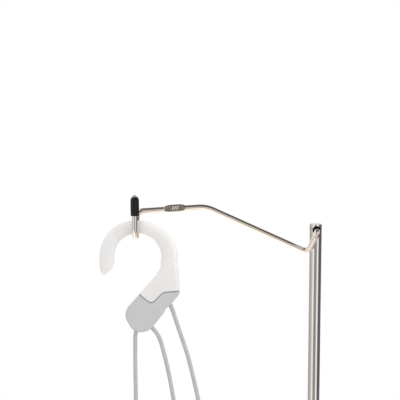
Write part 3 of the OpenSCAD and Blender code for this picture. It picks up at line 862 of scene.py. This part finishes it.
COVER_R, COVER_TOP, COVER_T, BOLT_HOLE_R = 143, 18.2, 1.2, 4.5
COVER_LOW = 3.6         # the cover's skirt ends just above the pad
COVER_IN, COVER_UNDER = COVER_R - COVER_T, COVER_TOP - COVER_T
cover = solid("base_cover_skin", [lathe([
    (BOLT_HOLE_R, COVER_UNDER, 0), (COVER_IN, COVER_UNDER, 5), (COVER_IN, COVER_LOW, 0),
    (COVER_R, COVER_LOW, 0.3), (COVER_R, COVER_TOP, 6.2), (BOLT_HOLE_R, COVER_TOP, 0)],
    closed=True, around=256, steps=10)], sharp=60)
place(cover, "base", "brushed_steel", "base_cover")
FOOT_H, FOOT_R = 3, COVER_R - 4
FOOT_DISH, FOOT_RIM = 0.6, 12.6  # the pad stands on its rim, round a shallow dish
foot = solid("base_pad_skin", [lathe([
    (0, FOOT_DISH, 0), (FOOT_R - FOOT_RIM + FOOT_DISH, FOOT_DISH, 0), (FOOT_R - FOOT_RIM, 0, 0.2),
    (FOOT_R, 0, 0.6), (FOOT_R, FOOT_H, 0.3), (0, FOOT_H, 0)], around=256)])
place(foot, "base", "rubber", "base_pad")
SOCKET_TOP, SOCKET_R, FLANGE_R = SOCKET_FLOOR + 28, 12, 24
socket = solid("post_socket_skin", [lathe([
    (LOWER_R + TOUCH, SOCKET_FLOOR, 0), (LOWER_R + TOUCH, SOCKET_TOP, 0.5), (SOCKET_R, SOCKET_TOP, 1.5),
    (SOCKET_R, SOCKET_FLOOR, 3), (FLANGE_R, SOCKET_FLOOR, 1.5), (FLANGE_R, COVER_TOP + TOUCH, 0),
    (LOWER_R + TOUCH, COVER_TOP + TOUCH, 0)], closed=True, around=192, steps=8)])
place(socket, "base", "brushed_steel", "post_socket")

# ---------- CAD nodes that stay as they are ----------

SLOTS = {row["node"]: row["material_slot"] for row in frame["record"]["subparts"]}
for node, made in frame["nodes"].items():
    for holder in made.material_slots:
        holder.material = MATERIALS[SLOTS[node]]

# ---------- studio, in metres ----------


def calc(tree, operation, first, second):
    """The result of a maths node."""
    return add(tree, "ShaderNodeMath", {0: first, 1: second}, operation=operation).outputs[0]


def mix(tree, share, first, second, blend="MIX"):
    """Two colours mixed; share is how much of the second one."""
    inputs = {0: share, 6: first, 7: second}
    return add(tree, "ShaderNodeMix", inputs, data_type="RGBA", blend_type=blend).outputs[2]


FLOOR_R = 2.4
BLACK, WHITE = (0, 0, 0), (1, 1, 1)
angle = np.arange(96) * 2 * math.pi / 96
rings = [
    np.column_stack([r * np.cos(angle), r * np.sin(angle), np.zeros(96)]) / MM
    for r in (0, 0.1, 0.3, 0.6, 1.0, 1.5, 2.0, FLOOR_R)]
floor = solid("studio_floor", [skin(rings, caps=False)])
floor.location.z = -0.0005
pale = bpy.data.materials.new("pale_floor")
pale.use_nodes = True
tree = pale.node_tree
from_middle = add(
    tree, "ShaderNodeVectorMath", {0: add(tree, "ShaderNodeTexCoord").outputs["Object"]}, operation="LENGTH")
reach = calc(tree, "DIVIDE", from_middle.outputs["Value"], FLOOR_R)
fade = ramp(tree, reach, [(0.4, BLACK), (0.95, WHITE)])
matt = tree.nodes["Principled BSDF"]
matt.inputs["Base Color"].default_value = (0.86, 0.86, 0.86, 1)
matt.inputs["Roughness"].default_value = 0.9
glow = add(tree, "ShaderNodeEmission", {"Color": (*WHITE, 1), "Strength": 1.0})
blend = add(tree, "ShaderNodeMixShader", {0: fade, 1: matt.outputs[0], 2: glow.outputs[0]})
tree.links.new(blend.outputs[0], tree.nodes["Material Output"].inputs["Surface"])
floor.data.materials.append(pale)
floor.visible_glossy = False

# The world is a room that only reflections show. It goes by direction: degrees round the upright axis, from
# the front (-Y) towards +X, and degrees above the horizon.


def grey(v, warm=0.0):
    """A grey, slightly warm."""
    return (v * (1 + warm), v, v * (1 - warm))


def round_room(degrees):
    """A colour ramp's place for an angle round the room."""
    return (degrees + 180) / 360


def level(degrees):
    """A colour ramp's place for a height above the horizon."""
    return (math.sin(math.radians(degrees)) + 1) / 2


BANDS = [
    (-180, grey(0.55, 0.06)), (-150, grey(0.44, 0.08)), (-105, grey(0.47, 0.08)), (-84, grey(0.62, 0.07)),
    (-64, grey(0.78, 0.05)), (-54, grey(1.1, 0.02)), (-39, grey(1.1, 0.02)), (-29, grey(0.36, 0.04)),
    (-8, grey(0.3, 0.04)), (6, grey(0.34, 0.03)), (17, grey(0.5)), (24, grey(1.12)), (43, grey(1.12)),
    (53, grey(0.34)), (63, grey(0.16)), (84, grey(0.12)), (120, grey(0.16)), (150, grey(0.17)),
    (180, grey(0.4)),
]
LOW_BANDS = [
    (-180, 1.1), (14, 1.1), (20, 0.15), (44, 0.2), (52, 0.9), (70, 0.9), (80, 0.4), (120, 0.6), (150, 1.1),
]
CEILING, CREAM, HORIZON = (0.15, 0.13, 0.112), (1.0, 0.885, 0.755), (0.98, 0.9, 0.83)
UNDER, STEEP = (1.4, 1.4, 1.4), (1.35, 1.3, 1.25)
BACK_WALL = (1.05, 1.05, 1.05)

world = bpy.data.worlds.new("studio")
scene.world = world
world.use_nodes = True
tree = world.node_tree
tree.nodes.clear()
way = add(tree, "ShaderNodeSeparateXYZ", {0: add(tree, "ShaderNodeTexCoord").outputs["Generated"]})
back = calc(tree, "MULTIPLY", way.outputs["Y"], -1.0)
azimuth = calc(tree, "ARCTAN2", way.outputs["X"], back)
around = add(
    tree, "ShaderNodeMapRange", {"Value": azimuth, "From Min": -math.pi, "From Max": math.pi}).outputs[0]
height = add(
    tree, "ShaderNodeMapRange", {"Value": way.outputs["Z"], "From Min": -1, "From Max": 1}).outputs[0]

# Light and dark bands below the horizon, and a plain pale wall above it
bands = ramp(tree, around, [(round_room(a), colour) for a, colour in BANDS])
wall = ramp(tree, height, [(level(-4.5), BLACK), (level(-2.5), WHITE)])
room = mix(tree, wall, bands, (*HORIZON, 1))

# A dark ceiling, which is open on the left (-X) except high overhead
upper = ramp(tree, height, [(level(19), BLACK), (level(25), WHITE)])
not_left = ramp(tree, around, [(0.08, WHITE), (0.11, BLACK), (0.43, BLACK), (0.46, WHITE)])
overhead = ramp(tree, height, [(level(58), BLACK), (level(66), WHITE)])
ceiling = calc(tree, "MULTIPLY", upper, calc(tree, "MAXIMUM", not_left, overhead))
room = mix(tree, ceiling, room, (*CEILING, 1))

# Further down, a cream floor that gets whiter right underneath, with its own bands
low = ramp(tree, height, [(level(-26), WHITE), (level(-22), BLACK)])
floor_colour = ramp(tree, height, [(level(-70), UNDER), (level(-54), STEEP), (level(-40), CREAM)])
low_bands = ramp(tree, around, [(round_room(a), grey(v, 0.08)) for a, v in LOW_BANDS])
room = mix(tree, low, room, mix(tree, 1.0, floor_colour, low_bands, "MULTIPLY"))

# Behind the object, a white wall
to_back = add(
    tree, "ShaderNodeMapRange", {"Value": way.outputs["Y"], "From Min": 0.55, "From Max": 0.8}).outputs[0]
above_floor = ramp(tree, height, [(level(-3), BLACK), (level(1), WHITE)])
room = mix(tree, calc(tree, "MULTIPLY", to_back, above_floor), room, (*BACK_WALL, 1))

# The metal reflects the room, matt surfaces are lit by a softer white, and the camera sees white.
reflected = add(tree, "ShaderNodeBackground", {"Color": room, "Strength": 1.0}).outputs[0]
white = add(tree, "ShaderNodeBackground", {"Color": (*WHITE, 1), "Strength": 1.0}).outputs[0]
soft = add(tree, "ShaderNodeBackground", {"Color": (*WHITE, 1), "Strength": 0.8}).outputs[0]
light = add(tree, "ShaderNodeLightPath")
seen = add(tree, "ShaderNodeMixShader", {0: light.outputs["Is Glossy Ray"], 1: soft, 2: reflected}).outputs[0]
seen = add(tree, "ShaderNodeMixShader", {0: light.outputs["Is Camera Ray"], 1: seen, 2: white}).outputs[0]
add(tree, "ShaderNodeOutputWorld", {0: seen})


def lamp(name, at, target, size, watts):
    """A square area lamp that shines at target and doesn't show in reflections."""
    data = bpy.data.lights.new(name, "AREA")
    data.size = size
    data.energy = watts
    made = bpy.data.objects.new(name, data)
    made.location = at
    made.rotation_euler = (Vector(target) - Vector(at)).to_track_quat("-Z", "Y").to_euler()
    made.visible_glossy = False
    bpy.context.collection.objects.link(made)
    return made


# A small round card by the top of the post, which shows only in reflections and lights the wire's bend there
card = lamp("card", (0.02, -0.03, 1.168), (0.003, -0.012, 1.147), 0.028, 0.002)
card.visible_glossy = True
card.visible_camera = False
card.data.shape = "DISK"
lamp("key", (-1.2, -1.6, 2.6), (-0.1, 0, 1.1), 1.2, 10)
lamp("fill", (1.7, -0.7, 1.5), (-0.1, 0, 1.1), 1.2, 12)
lamp("top", (0.2, 0.3, 3.0), (0, 0, 0.6), 1.8, 12)
